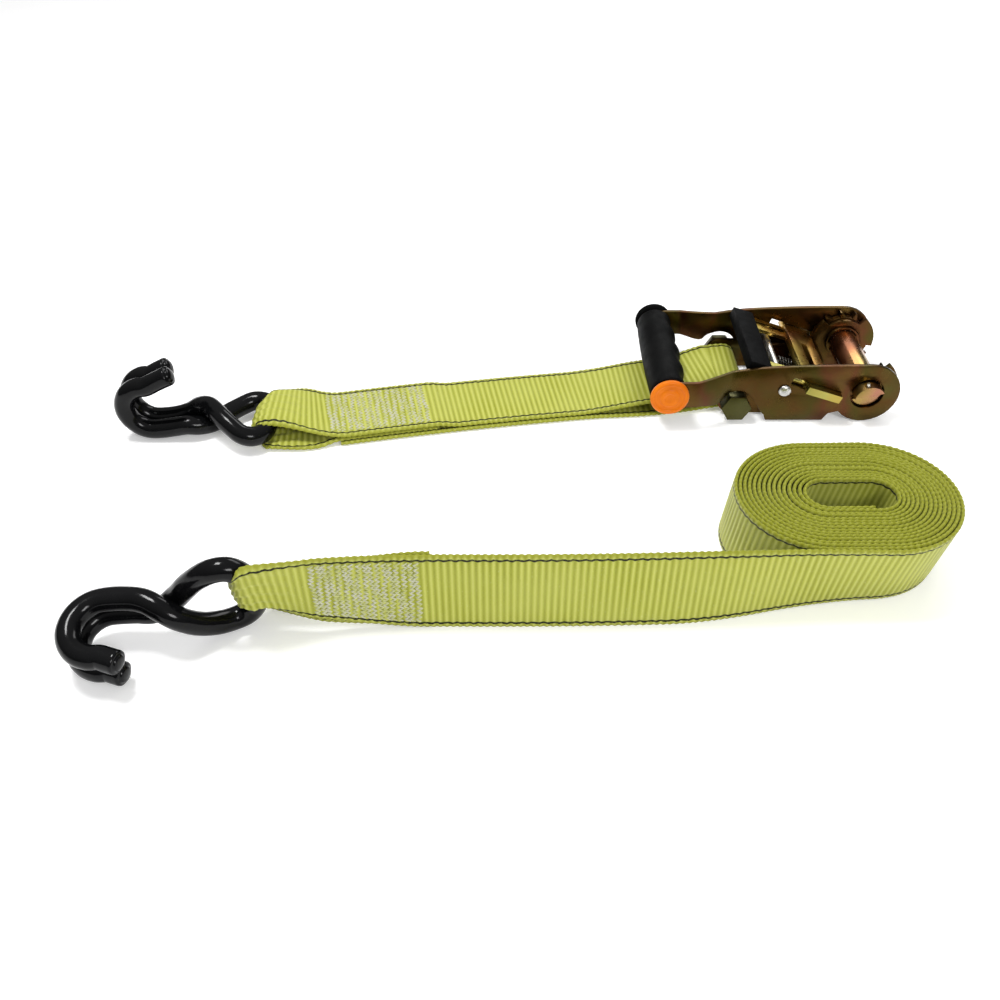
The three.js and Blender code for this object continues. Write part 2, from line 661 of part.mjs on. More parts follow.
// The strap runs a little diagonally from the ratchet to its hook.
function strapMiddle(x) {
  const start = MANDREL_X + BOLT_X - BOLT_END_RADIUS;
  const t = Math.max(0, (start - x) / (start - HOOK_A.x));
  const bow = STRAP_BOW * t * (1 - t) * THREE.MathUtils.smoothstep(t, 0.05, 0.3);
  return THREE.MathUtils.lerp(RATCHET_Y, HOOK_A.y, t) + bow;
}

function hookBTurn() {
  return new THREE.Euler(Math.PI / 2 + HOOK_B.roll, HOOK_B.pitch, HOOK_B.yaw, 'ZYX');
}

// Loose strap, standing on its edge, from its hook to the roll. Its eye leans with the hook's bar.
function looseLead() {
  const t = WEB_THICK / 2;
  const eye = WIRE_RADIUS + EYE_CLEARANCE;
  const seam = -25; // end of the doubled length
  const end = COIL.x;
  const rollY = COIL.y - COIL.outer - GAP;
  const outline = new THREE.Shape();
  outline.moveTo(end, rollY);
  outline.lineTo(140, rollY - 0.5);
  outline.bezierCurveTo(110, -108.5, 60, -111.5, seam, -112 + t);
  outline.lineTo(seam, -112 + 3 * t);
  outline.bezierCurveTo(-60, -112 + 3 * t, -95, -110, ...polar(eye + WEB_THICK, 70, HOOK_B.x, HOOK_B.y));
  outline.absarc(HOOK_B.x, HOOK_B.y, eye + WEB_THICK, 70 * RAD, 290 * RAD, false);
  outline.bezierCurveTo(-100, -114.6, -60, -112 - t, seam, -112 - t);
  outline.bezierCurveTo(60, -111.5 - 2 * t, 110, -108.5 - 2 * t, 140, rollY - 0.5 - WEB_THICK);
  outline.lineTo(end, rollY - WEB_THICK);
  outline.holes.push(circleHole(HOOK_B.x, HOOK_B.y, eye));
  const geometry = new THREE.ExtrudeGeometry(outline, {
    depth: WEB_WIDTH, bevelEnabled: false, curveSegments: 8,
  });
  const barLine = new THREE.Vector3(0, 1, 0).applyEuler(hookBTurn());
  const place = geometry.attributes.position;
  for (let i = 0; i < place.count; i += 1) {
    const x = place.getX(i);
    const flat = THREE.MathUtils.smoothstep(x, HOOK_B.x + 10, HOOK_B.x + 42);
    const narrow = THREE.MathUtils.lerp(2 * EYE_WEB_HALF / WEB_WIDTH, 1, flat);
    const rolled = THREE.MathUtils.smoothstep(x, LEAN_START, LEAN_END);
    const height = THREE.MathUtils.lerp(WEB_WIDTH, COIL.height, rolled);
    const middle = THREE.MathUtils.lerp(HOOK_B.z, height / 2, flat);
    const above = (place.getZ(i) / WEB_WIDTH - 0.5) * height * narrow;
    const lean = rolled * COIL.lean * (0.5 - above / height);
    const tilt = above * (1 - flat) / barLine.z;
    place.setXYZ(i, x + barLine.x * tilt, place.getY(i) + barLine.y * tilt + lean, middle + above);
  }
  return geometry;
}

function stadium(path, radius) {
  path.moveTo(COIL.x + COIL.straight, COIL.y - radius);
  path.absarc(COIL.x + COIL.straight, COIL.y, radius, -Math.PI / 2, Math.PI / 2, false);
  path.absarc(COIL.x - COIL.straight, COIL.y, radius, Math.PI / 2, 1.5 * Math.PI, false);
  path.closePath();
  return path;
}

function looseCoil() {
  const outline = stadium(new THREE.Shape(), COIL.outer);
  outline.holes.push(stadium(new THREE.Path(), COIL.inner));
  const geometry = new THREE.ExtrudeGeometry(outline, {
    depth: COIL.height, bevelEnabled: false, curveSegments: 16,
  });
  const place = geometry.attributes.position;
  for (let i = 0; i < place.count; i += 1) {
    place.setY(i, place.getY(i) + COIL.lean * (1 - place.getZ(i) / COIL.height));
  }
  return geometry;
}

// ---------------------------------------------------------------- assembly

const ratchet = group(
  piece('frame_channel', frameChannel(), zinc),
  piece('strap_bolt', strapBolt(), oliveZinc),
  piece('strap_bolt_nut', strapBoltNut(), oliveZinc),
  piece('strap_bolt_sleeve', boltSleeve(), steel),
  piece('lock_pawl_plate', lockPawl(), zinc),
  piece('lock_pawl_spring', spring(alongLock(LOCK_BACK + 0.9), alongLock(39.6), 2.4, 5), steel),
  piece('mandrel_half_upper', halfShaft(true), brightZinc),
  piece('mandrel_half_lower', halfShaft(false), brightZinc),
  piece('ratchet_wheel_near', ratchetWheel(false), zinc),
  piece('ratchet_wheel_far', ratchetWheel(true), zinc),
  piece('mandrel_pin_near', shaftPin(true), steel),
  piece('mandrel_pin_far', shaftPin(false), steel),
  piece('handle_plate_near', handlePlate(false), zinc),
  piece('handle_plate_far', handlePlate(true), zinc),
  piece('handle_cross_pin', crossPin(), steel),
  piece('grip_sleeve', gripSleeve(), blackPlastic),
  piece('grip_bolt', gripBolt(), steel),
  piece('grip_nut', gripNut(), steel),
  piece('grip_cap_near', gripCap(false), orangePlastic),
  piece('grip_cap_far', gripCap(true), blackPlastic),
  piece('drive_pawl_plate', drivePawlPlate(), brightZinc),
  piece('finger_pull', fingerPull(), blackPlastic),
  piece('drive_pawl_spring', spring(alongPawl(36.6, -7.5), alongPawl(46.9, -7.5), 2.4, 5), steel),
);
ratchet.position.set(MANDREL_X, RATCHET_Y, MANDREL_HEIGHT);

const hookA = group(
  piece('hook_a_coat', hookCoat(TIPS_A), blackVinyl),
  piece('hook_a_wire', hookCore(TIPS_A), steel),
);
hookA.position.set(HOOK_A.x, HOOK_A.y, HOOK_A.z);

const hookB = group(
  piece('hook_b_coat', hookCoat(TIPS_B), blackVinyl),
  piece('hook_b_wire', hookCore(TIPS_B), steel),
);
hookB.position.set(HOOK_B.x, HOOK_B.y, HOOK_B.z);
hookB.rotation.copy(hookBTurn());

const set = group(
  ratchet,
  hookA,
  hookB,
  piece('fixed_strap', fixedStrap(), webbing),
  piece('loose_strap_lead', looseLead(), webbing),
  piece('loose_strap_coil', looseCoil(), webbing),
);

// The origin is the middle of the set's base.
const bounds = new THREE.Box3().setFromObject(set, true);
const middle = bounds.getCenter(new THREE.Vector3());
set.position.set(-middle.x, -middle.y, -bounds.min.z);

export default group(set);
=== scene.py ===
# Ratchet tie down: webbing, coated hooks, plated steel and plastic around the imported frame.
# Metres in the row frame. Shapes are worked out in millimetres on a bench whose axes are the
# row's: X along the straps, Y from the rolled strap towards the ratchet, Z up.

import math

import bpy
import numpy as np
from mathutils import Euler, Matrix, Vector


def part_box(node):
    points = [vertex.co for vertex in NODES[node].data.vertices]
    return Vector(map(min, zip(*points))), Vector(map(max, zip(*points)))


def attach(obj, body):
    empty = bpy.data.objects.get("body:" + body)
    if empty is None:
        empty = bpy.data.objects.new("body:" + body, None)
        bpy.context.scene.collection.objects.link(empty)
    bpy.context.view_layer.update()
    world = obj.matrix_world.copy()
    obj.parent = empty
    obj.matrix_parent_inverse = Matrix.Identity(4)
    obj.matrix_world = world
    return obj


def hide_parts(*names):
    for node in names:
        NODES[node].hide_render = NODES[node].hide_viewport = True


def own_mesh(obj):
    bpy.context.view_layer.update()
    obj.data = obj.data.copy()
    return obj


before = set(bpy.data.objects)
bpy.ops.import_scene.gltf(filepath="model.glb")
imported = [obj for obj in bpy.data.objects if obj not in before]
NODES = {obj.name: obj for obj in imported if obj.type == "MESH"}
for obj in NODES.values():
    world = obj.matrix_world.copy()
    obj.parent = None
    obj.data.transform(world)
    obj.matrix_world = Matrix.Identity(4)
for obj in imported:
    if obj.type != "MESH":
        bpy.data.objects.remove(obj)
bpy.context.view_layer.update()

MM = 0.001

# ------------------------------------------------------------------ dimensions, in millimetres

WEB_WIDTH = 50.0
WEB_THICK = 1.8
RIB_PITCH = 3.4
RIB_HEIGHT = 0.17
EDGE_WAVE = 0.3
SELVAGE = 0.865  # where the tracer yarn lies, as a share of the way from the middle to the edge
TRACER_INSET = 3.4  # the tracer yarn's distance in from the edge

MANDREL = Vector((230.6, 104.5, 21.0))
BOLT = Vector((149.4, 104.5, 11.5))
SLEEVE_RADIUS = 6.5
SLEEVE_GAP = 0.35  # between the sleeve and the webbing round it
BOLT_END_RADIUS = 10.5
GRIP = Vector((105.0, 104.5, 25.0))
GRIP_RADIUS = 12.3
GRIP_HALF = 42.2
GRIP_SEAT = 45.8  # from the grip's middle to the inner side of each cap
CAP_RADIUS = 12.0
CAP_LENGTH = 3.0
LATHE_CENTRE = 0.02  # smallest radius of a turned shape, in the middle of its ends

COIL_X, COIL_Y, COIL_STRAIGHT = 179.5, -63.0, 14.5
COIL_OUTER, COIL_INNER = 42.6, 9.8
COIL_HEIGHT, COIL_LEAN = 48.0, 15.0
LEAN_START, LEAN_END = 85.0, 205.0  # the lead leans over between these, to lie as the roll does
INNER_SHIFT = 4.5  # the roll's left end closes in on its slot towards the inner turns
LEAD_RADIUS = COIL_OUTER + 1.3  # middle of the webbing on the roll's outermost turn
TURNS = 15

WIRE_RADIUS = 6.1
EYE_HALF, CROSS_U, STRAND_STEP, SHANK_BOW = 20.7, -36.0, 6.4, 5.2
BEND_U, BEND_DROP, BEND_RADIUS = -70.0, 3.0, 15.8
TIP_SIDE, TIP_FLARE = 6.4, 27.0
TIPS_A = (14.5, 19.0)  # the tips of the strand that crosses over and of the one under it
TIPS_B = (11.0, 9.5)
HOOK_A = Vector((-145.0, 56.8, 9.2))
HOOK_B = Vector((-123.0, -112.5, 27.7))
HOOK_B_TURN = Euler((math.radians(104), math.radians(-5), math.radians(8)), "XYZ")
EYE_RADIUS = WIRE_RADIUS + 0.9 + WEB_THICK / 2
EYE_WRAP = 70  # degrees from the strap's line at which the webbing meets and leaves the bar
EYE_WEB_HALF = 14.0
BAR_WEB_HALF = 18.5
SKEW_A = 4.5  # how far each layer of the fixed strap lies from the middle where it leaves the bar
STRAP_BOW = 23.0
PATCH_A = (-110.0, -47.0)
PATCH_B = (-93.0, -39.0)

roll_low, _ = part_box("loose_strap_coil")
OFFSET = Vector((
    roll_low.x / MM - (COIL_X - COIL_STRAIGHT - COIL_OUTER),
    roll_low.y / MM - (COIL_Y - COIL_OUTER),
    0.0,
))


def row(point):
    return (Vector(point) + OFFSET) * MM


# ------------------------------------------------------------------ camera, floor and light

def make_camera():
    data = bpy.data.cameras.new("camera")
    data.lens = 37.8
    data.sensor_width = 36
    data.clip_end = 50
    camera = bpy.data.objects.new("camera", data)
    camera.location = row((0, -481, 394))
    camera.rotation_euler = (math.radians(50), 0, 0)
    bpy.context.scene.collection.objects.link(camera)
    bpy.context.scene.camera = camera


def make_floor():
    """Plain pale floor, a hair below the set so that the two never share a plane."""
    half, gap = 4, 0.0003
    corners = [(-half, -half, 0), (half, -half, 0), (half, half, 0), (-half, half, 0)]
    mesh = bpy.data.meshes.new("floor")
    mesh.from_pydata(corners, [], [(0, 1, 2, 3)])
    floor = bpy.data.objects.new("floor", mesh)
    floor.location.z = -gap
    bpy.context.scene.collection.objects.link(floor)
    material = bpy.data.materials.new("floor")
    material.use_nodes = True
    shader = material.node_tree.nodes["Principled BSDF"]
    shader.inputs["Base Color"].default_value = (0.93, 0.93, 0.93, 1)
    shader.inputs["Roughness"].default_value = 0.9
    shader.inputs["Specular IOR Level"].default_value = 0.1
    shader.inputs["Emission Color"].default_value = (1, 1, 1, 1)
    shader.inputs["Emission Strength"].default_value = 0.22
    mesh.materials.append(material)


def make_light(name, location, target, size, power):
    data = bpy.data.lights.new(name, "AREA")
    data.shape = "RECTANGLE"
    data.size, data.size_y = size
    data.energy = power
    light = bpy.data.objects.new(name, data)
    light.location = location
    aim = Vector(target) - Vector(location)
    light.rotation_euler = aim.to_track_quat("-Z", "Y").to_euler()
    bpy.context.scene.collection.objects.link(light)


def make_world():
    """Soft light from above, and a plain pale wall where the camera looks past the floor."""
    world = bpy.data.worlds.new("studio")
    world.use_nodes = True
    nodes, links = world.node_tree.nodes, world.node_tree.links
    coordinates = nodes.new("ShaderNodeTexCoord")
    split = nodes.new("ShaderNodeSeparateXYZ")
    ramp = nodes.new("ShaderNodeValToRGB")
    ramp.color_ramp.elements[0].position = 0.0
    ramp.color_ramp.elements[0].color = (0.10, 0.10, 0.10, 1)
    ramp.color_ramp.elements[1].position = 0.9
    ramp.color_ramp.elements[1].color = (1, 1, 1, 1)
    links.new(coordinates.outputs["Generated"], split.inputs[0])
    links.new(split.outputs["Z"], ramp.inputs[0])
    links.new(ramp.outputs[0], nodes["Background"].inputs["Color"])
    nodes["Background"].inputs["Strength"].default_value = 0.62
    wall = nodes.new("ShaderNodeBackground")
    wall.inputs["Color"].default_value = (0.86, 0.86, 0.86, 1)
    path = nodes.new("ShaderNodeLightPath")
    choose = nodes.new("ShaderNodeMixShader")
    links.new(path.outputs["Is Camera Ray"], choose.inputs[0])
    links.new(nodes["Background"].outputs[0], choose.inputs[1])
    links.new(wall.outputs[0], choose.inputs[2])
    links.new(choose.outputs[0], nodes["World Output"].inputs["Surface"])
    bpy.context.scene.world = world


def make_lights():
    make_light("key", (-0.35, 0.05, 1.15), (0.02, 0, 0), (0.35, 0.25), 11)
    make_light("fill", (0.45, -0.95, 0.75), (0.05, 0, 0), (0.45, 0.3), 8)
    make_light("back", (0.4, 1.0, 0.7), (0.1, 0.1, 0), (0.8, 0.35), 4)


# ------------------------------------------------------------------ materials

class Look:
    """A material's node tree, with short calls for the nodes that are used here."""

    def __init__(self, name, roughness=0.5, metallic=0.0):
        self.material = bpy.data.materials.new(name)
        self.material.use_nodes = True
        self.nodes = self.material.node_tree.nodes
        self.links = self.material.node_tree.links
        self.shader = self.nodes["Principled BSDF"]
        self.shader.inputs["Roughness"].default_value = roughness
        self.shader.inputs["Metallic"].default_value = metallic

    def node(self, kind, **sockets):
        made = self.nodes.new(kind)
        for name, value in sockets.items():
            self.feed(value, made.inputs[name.replace("_", " ")])
        return made

    def feed(self, value, socket):
        if isinstance(value, bpy.types.NodeSocket):
            self.links.new(value, socket)
        else:
            socket.default_value = value

    def place(self, output="Object"):
        return self.node("ShaderNodeTexCoord").outputs[output]

    def noise(self, scale, detail=3.0, roughness=0.5, vector=None, distortion=0.0):
        made = self.node(
            "ShaderNodeTexNoise", Scale=scale, Detail=detail, Roughness=roughness, Distortion=distortion)
        self.links.new(vector or self.place(), made.inputs["Vector"])
        return made.outputs["Fac"]

    def math(self, operation, a, b=0.0, c=0.0):
        made = self.nodes.new("ShaderNodeMath")
        made.operation = operation
        for value, socket in zip((a, b, c), made.inputs):
            self.feed(value, socket)
        return made.outputs[0]

    def ramp(self, value, *stops):
        made = self.node("ShaderNodeValToRGB", Fac=value)
        elements = made.color_ramp.elements
        while len(elements) < len(stops):
            elements.new(0.5)
        for element, (position, color) in zip(elements, stops):
            element.position = position
            element.color = (*color, 1)
        return made.outputs["Color"]

    def mix(self, factor, a, b):
        made = self.nodes.new("ShaderNodeMix")
        made.data_type = "RGBA"
        self.feed(factor, made.inputs[0])
        for value, socket in ((a, made.inputs[6]), (b, made.inputs[7])):
            self.feed((*value, 1) if isinstance(value, tuple) else value, socket)
        return made.outputs[2]

    def range(self, value, low, high, start=0.0, end=1.0):
        made = self.nodes.new("ShaderNodeMapRange")
        for number, socket in zip((value, start, end, low, high), made.inputs):
            self.feed(number, socket)
        return made.outputs[0]

    def bump(self, height, strength, distance, under=None):
        made = self.node("ShaderNodeBump", Height=height, Strength=strength, Distance=distance)
        if under:
            self.links.new(under, made.inputs["Normal"])
        return made.outputs["Normal"]

    def set(self, **sockets):
        for name, value in sockets.items():
            self.feed(value, self.shader.inputs[name.replace("_", " ")])
        return self.material


def plated_steel(name, roughness, gain, *tints):
    """Chromate plating: a film whose cloudy shifts of colour run through the tints."""
    look = Look(name, metallic=1.0)
    drift = look.noise(14, 2, 0.5, distortion=0.5)
    clouds = look.math("ADD", drift, look.range(look.noise(75, 3), -0.07, 0.07))
    first, spread = 0.27, 0.46
    step = spread / (len(tints) - 1)
    stops = [(first + i * step, tuple(gain * part for part in tint)) for i, tint in enumerate(tints)]
    base = look.ramp(clouds, *stops)
    specks = look.range(look.noise(900, 2), 0, 0.35, 0.62, 0.8)
    grain = look.noise(1500, 2)
    return look.set(
        Base_Color=look.mix(specks, base, stops[0][1]),
        Roughness=look.range(look.noise(60, 4), roughness - 0.07, roughness + 0.12, 0.3, 0.7),
        Normal=look.bump(grain, 0.12, 0.0002, look.bump(look.noise(120, 2), 0.15, 0.0006)),
    )


def bare_steel(name, dark, light):
    look = Look(name, metallic=1.0)
    tone = look.ramp(look.noise(220, 4), (0.3, dark), (0.7, light))
    scratch = look.noise(1800, 3)
    return look.set(
        Base_Color=tone,
        Roughness=look.range(scratch, 0.22, 0.42, 0.3, 0.7),
        Normal=look.bump(scratch, 0.1, 0.0001),
    )


def moulded_plastic(name, dark, light, roughness, grain_scale, grain, shine):
    look = Look(name)
    tone = look.ramp(look.noise(70, 3), (0.35, dark), (0.65, light))
    pores = look.noise(grain_scale, 3, 0.6)
    return look.set(
        Base_Color=tone,
        Roughness=look.range(look.noise(150, 3), roughness - 0.05, roughness + 0.09, 0.3, 0.7),
        Normal=look.bump(pores, grain, 0.0003),
        Specular_IOR_Level=shine,
    )


def dipped_vinyl():
    look = Look("black_vinyl")
    tone = look.ramp(look.noise(45, 2), (0.3, (0.0015, 0.0016, 0.0018)), (0.7, (0.0035, 0.0036, 0.004)))
    runs = look.noise(75, 2, 0.4)
    dust = look.noise(2600, 2)
    return look.set(
        Base_Color=tone,
        Roughness=look.range(dust, 0.1, 0.24, 0.45, 0.75),
        Normal=look.bump(dust, 0.04, 0.0001, look.bump(runs, 0.35, 0.0012)),
        Specular_IOR_Level=0.16,
    )


def web_waves(look, across, along):
    """Distance in from the strap's edge, in millimetres, wandering a little along the strap."""
    from_middle = look.math("ABSOLUTE", look.math("SUBTRACT", across, 0.5))
    inward = look.math("MULTIPLY", look.math("SUBTRACT", 0.5, from_middle), WEB_WIDTH)
    ribs_per_wave, reach = 1.6, 0.3
    turn = look.math("MULTIPLY", along, 2 * math.pi / ribs_per_wave)
    sway = look.math("MULTIPLY", look.math("SINE", turn), reach)
    return look.math("ADD", inward, sway)


def webbing():
    """Ribbed polyester webbing. U counts ribs along the strap and V runs across it."""
    look = Look("webbing", roughness=0.72)
    strip = look.node("ShaderNodeSeparateXYZ", Vector=look.place("UV"))
    along, across = strip.outputs[0], strip.outputs[1]
    rib = look.math("COSINE", look.math("MULTIPLY", along, 2 * math.pi))
    inward = web_waves(look, across, along)

    stretched = look.node("ShaderNodeVectorMath", Vector=look.place("UV"))
    stretched.operation = "MULTIPLY"
    stretched.inputs[1].default_value = (3.0, 190.0, 1.0)
    yarn = look.noise(1.0, 3, 0.6, vector=stretched.outputs[0])
    patchy = look.noise(28, 3)
    fleck = look.noise(1400, 2)

    # The rib wave also colours the webbing: painted shade in the valleys between the ribs and painted
    # highlight on their crests, over the yarn's own streaks.
    body = look.ramp(
        look.math("MULTIPLY_ADD", rib, 0.24, look.math("MULTIPLY_ADD", yarn, 0.5, 0.25)),
        (0.18, (0.215, 0.232, 0.018)), (0.5, (0.350, 0.368, 0.045)), (0.85, (0.520, 0.535, 0.130)))
    body = look.mix(look.range(patchy, 0, 0.3, 0.35, 0.75), body, (0.45, 0.465, 0.115))
    body = look.mix(look.range(fleck, 0, 0.55, 0.66, 0.8), body, (0.66, 0.67, 0.38))

    off_line = look.math("ABSOLUTE", look.math("SUBTRACT", inward, TRACER_INSET))
    line = look.range(off_line, 1, 0, 0.55, 0.85)
    broken = look.range(look.noise(700, 2), 0.85, 1, 0.35, 0.5)
    # Painted shade: the colour darkens towards each edge, standing for the shade between the roll's turns.
    edge = look.range(inward, 0.75, 0, 0.4, 2.2)
    body = look.mix(edge, body, (0.215, 0.225, 0.014))
    color = look.mix(look.math("MULTIPLY", line, broken), body, (0.004, 0.005, 0.002))

    threads = look.math("MULTIPLY", yarn, look.math("MULTIPLY_ADD", rib, 0.3, 0.7))
    fuzz = look.noise(2400, 2)
    return look.set(
        Base_Color=color,
        Roughness=look.range(fuzz, 0.4, 0.58, 0.3, 0.7),
        Normal=look.bump(fuzz, 0.3, 0.0002, look.bump(threads, 0.6, 0.0005)),
        Sheen_Weight=0.05,
        Sheen_Roughness=0.4,
        Specular_IOR_Level=0.16,
    )


def thread():
    look = Look("thread", roughness=0.6)
    tone = look.ramp(look.noise(190, 3), (0.36, (0.42, 0.44, 0.14)), (0.6, (0.50, 0.50, 0.38)))
    twist = look.noise(5000, 2)
    return look.set(Base_Color=tone, Normal=look.bump(twist, 0.4, 0.0001), Sheen_Weight=0.3)


# ------------------------------------------------------------------ mesh helpers

def add_object(name, mesh, material, body, smooth=True):
    obj = bpy.data.objects.new(name, mesh)
    bpy.context.scene.collection.objects.link(obj)
    mesh.materials.append(material)
    if smooth:
        mesh.polygons.foreach_set("use_smooth", [True] * len(mesh.polygons))
    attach(obj, body)
    return obj


def grid_mesh(name, rows, closed_ends=True, uv=None):
    """Tube of equal rings of points. rows is an array of rings, in millimetres on the bench."""
    count, sides, _ = rows.shape
    points = (rows.reshape(-1, 3) + np.array(OFFSET)) * MM
    ring = np.arange(sides)
    start = (np.arange(count - 1) * sides)[:, None]
    after = (ring + 1) % sides
    quads = np.stack([start + ring, start + after, start + sides + after, start + sides + ring], -1)
    faces = quads.reshape(-1, 4).tolist()
    if closed_ends:
        faces.append(ring[::-1].tolist())
        faces.append((ring + (count - 1) * sides).tolist())
    mesh = bpy.data.meshes.new(name)
    mesh.from_pydata(points.tolist(), [], faces)
    if uv is not None:
        layer = mesh.uv_layers.new(name="UVMap")
        flat = uv.reshape(-1, 2)
        vertex = np.zeros(len(mesh.loops), np.int32)
        mesh.loops.foreach_get("vertex_index", vertex)
        layer.data.foreach_set("uv", flat[vertex].ravel())
    mesh.validate()
    return mesh


def tube_rings(points, radius, sides):
    """Rings round a path of points, turned as little as possible from one to the next."""
    points = np.asarray(points, float)
    tangents = np.gradient(points, axis=0)
    tangents /= np.linalg.norm(tangents, axis=1)[:, None]
    side = np.cross(tangents[0], (0.1, 0.2, 1.0))
    angles = np.linspace(0, 2 * math.pi, sides, endpoint=False)
    radii = np.broadcast_to(radius, len(points))
    rings = []
    for point, tangent, reach in zip(points, tangents, radii):
        side = side - tangent * np.dot(side, tangent)
        side /= np.linalg.norm(side)
        other = np.cross(tangent, side)
        ring = np.outer(np.cos(angles), side) + np.outer(np.sin(angles), other)
        rings.append(point + reach * ring)
    return np.array(rings)


def lathe(name, profile, centre, sides=96, warp=None):
    """Turned solid about an axis along Y. profile is a list of (radius, y); warp moves each point."""
    angles = np.linspace(0, 2 * math.pi, sides, endpoint=False)
    rings = []
    for radius, y in profile:
        ring = np.stack([radius * np.cos(angles), np.full(sides, y), radius * np.sin(angles)], -1)
        rings.append(warp(ring) if warp else ring)
    return grid_mesh(name, np.array(rings) + np.array(centre))


def bezier(a, b, c, d, steps=40):
    t = np.linspace(0, 1, steps)[:, None]
    a, b, c, d = (np.array(p, float) for p in (a, b, c, d))
    return (1 - t) ** 3 * a + 3 * (1 - t) ** 2 * t * b + 3 * (1 - t) * t ** 2 * c + t ** 3 * d


def arc(x, y, radius, start, end, steps=60):
    angles = np.radians(np.linspace(start, end, steps))
    return np.stack([x + radius * np.cos(angles), y + radius * np.sin(angles)], -1)


def smoothstep(value, low, high):
    t = np.clip((np.asarray(value, float) - low) / (high - low), 0, 1)
    return t * t * (3 - 2 * t)


def resample(points, step):
    """The path with its points an equal distance apart, and that distance along it for each."""
    points = np.asarray(points, float)
    gaps = np.linalg.norm(np.diff(points, axis=0), axis=1)
    keep = np.concatenate([[True], gaps > 1e-6])
    points = points[keep]
    along = np.concatenate([[0], np.cumsum(np.linalg.norm(np.diff(points, axis=0), axis=1))])
    count = int(along[-1] / step)
    wanted = np.linspace(0, along[-1], count)
    made = np.stack([np.interp(wanted, along, points[:, i]) for i in range(points.shape[1])], -1)
    return made, wanted


# ------------------------------------------------------------------ webbing

class Strap:
    """A length of webbing. centre and across are given for each point along it; across is half
    of the webbing's width as a vector, and gather is 1 where the webbing is bunched on a hook."""

    def __init__(self, centre, across, along, gather):
        self.centre, self.across, self.along, self.gather = centre, across, along, gather
        tangent = np.gradient(centre, axis=0)
        normal = np.cross(tangent, across)
        self.normal = normal / np.linalg.norm(normal, axis=1)[:, None]

    def face(self, v, side):
        """Points of one face of the webbing at v, from -1 to 1 across, for its whole length."""
        groove_depth, groove_width, bead_height, rounded_from = 0.2, 0.018, 0.1, 0.94
        bowed = 0.9 * np.sin(self.along / 31) * v * v + 0.35 * np.sin(self.along / 12.3 + 2.2 * v)
        turn = 2 * math.pi * (self.along + bowed) / RIB_PITCH
        depth = RIB_HEIGHT * (0.75 + 0.45 * np.sin(self.along / 47 + 1.7 * v))
        inner = 1 - smoothstep(abs(v), SELVAGE - 0.03, SELVAGE + 0.02)
        rounding = math.sqrt(max(0.0, 1 - smoothstep(abs(v), rounded_from, 1.0) ** 2 * 0.96))
        groove = groove_depth * math.exp(-((abs(v) - SELVAGE) / groove_width) ** 2)
        beads = bead_height * np.cos(2 * turn) * (1 - inner)
        height = (WEB_THICK / 2 - groove + depth * np.cos(turn) * inner + beads) * rounding
        folds = 0.85 + 0.75 * np.cos(5 * math.pi * v + 0.1 * self.along)
        wrinkle = self.gather * (folds - 0.8 - 2.0 * v ** 4)
        sway = smoothstep(abs(v), 0.8, 1.0)
        edge = np.sign(v) * EDGE_WAVE * sway * np.sin(turn + 0.6)
        width = np.linalg.norm(self.across, axis=1)
        reach = v + edge / width
        lift = side * height + wrinkle
        return self.centre + self.across * reach[:, None] + self.normal * lift[:, None]

    def mesh(self, name, lines=19):
        edge = np.linspace(0.86, 1, 5)
        top = np.concatenate([-edge[::-1], np.linspace(-0.8, 0.8, lines), edge])
        ring = [(v, 1) for v in top] + [(v, -1) for v in top[::-1]]
        rows = np.stack([self.face(v, side) for v, side in ring], 1)
        uv = np.zeros((*rows.shape[:2], 2))
        uv[..., 0] = (self.along / RIB_PITCH)[:, None]
        uv[..., 1] = np.array([v for v, _ in ring])[None, :] / 2 + 0.5
        return grid_mesh(name, rows, uv=uv)

    def spot(self, along, v, side, lift=0.0):
        """A point on a face, lift millimetres above it."""
        i = np.interp(along, self.along, np.arange(len(self.along)))
        low = int(min(i, len(self.along) - 2))
        t = i - low
        blend = lambda values: values[low] * (1 - t) + values[low + 1] * t
        height = side * (WEB_THICK / 2 + lift)
        return blend(self.centre) + blend(self.across) * v + blend(self.normal) * height


def half_width(x, eye_x, full, spread):
    """Half of the webbing's width near a hook: bunched round the bar, wider beside it, then full."""
    over_bar = (BAR_WEB_HALF - EYE_WEB_HALF) * smoothstep(x, eye_x - 5, eye_x + 1)
    return EYE_WEB_HALF + over_bar + (full - BAR_WEB_HALF) * smoothstep(x, eye_x, eye_x + spread)


def layer(past_eye):
    """-1 on the layer before the eye, 1 on the layer after it, and between them round the bar."""
    return np.sign(past_eye) * smoothstep(np.abs(past_eye), 3, 18)


def eye_ends(x, height):
    """Where the webbing meets the bar of a hook and where it leaves it, in the plane of its loop."""
    return [tuple(arc(x, height, EYE_RADIUS, angle, angle, 1)[0]) for angle in (EYE_WRAP, 360 - EYE_WRAP)]


def strap_middle(x):
    """The fixed strap's line in plan: it runs from the bolt to hook A with a slow bow."""
    start = BOLT.x - BOLT_END_RADIUS
    t = np.maximum(0, (start - x) / (start - HOOK_A.x))
    bow = STRAP_BOW * t * (1 - t) * smoothstep(t, 0.05, 0.3)
    return BOLT.y + (HOOK_A.y - BOLT.y) * t + bow


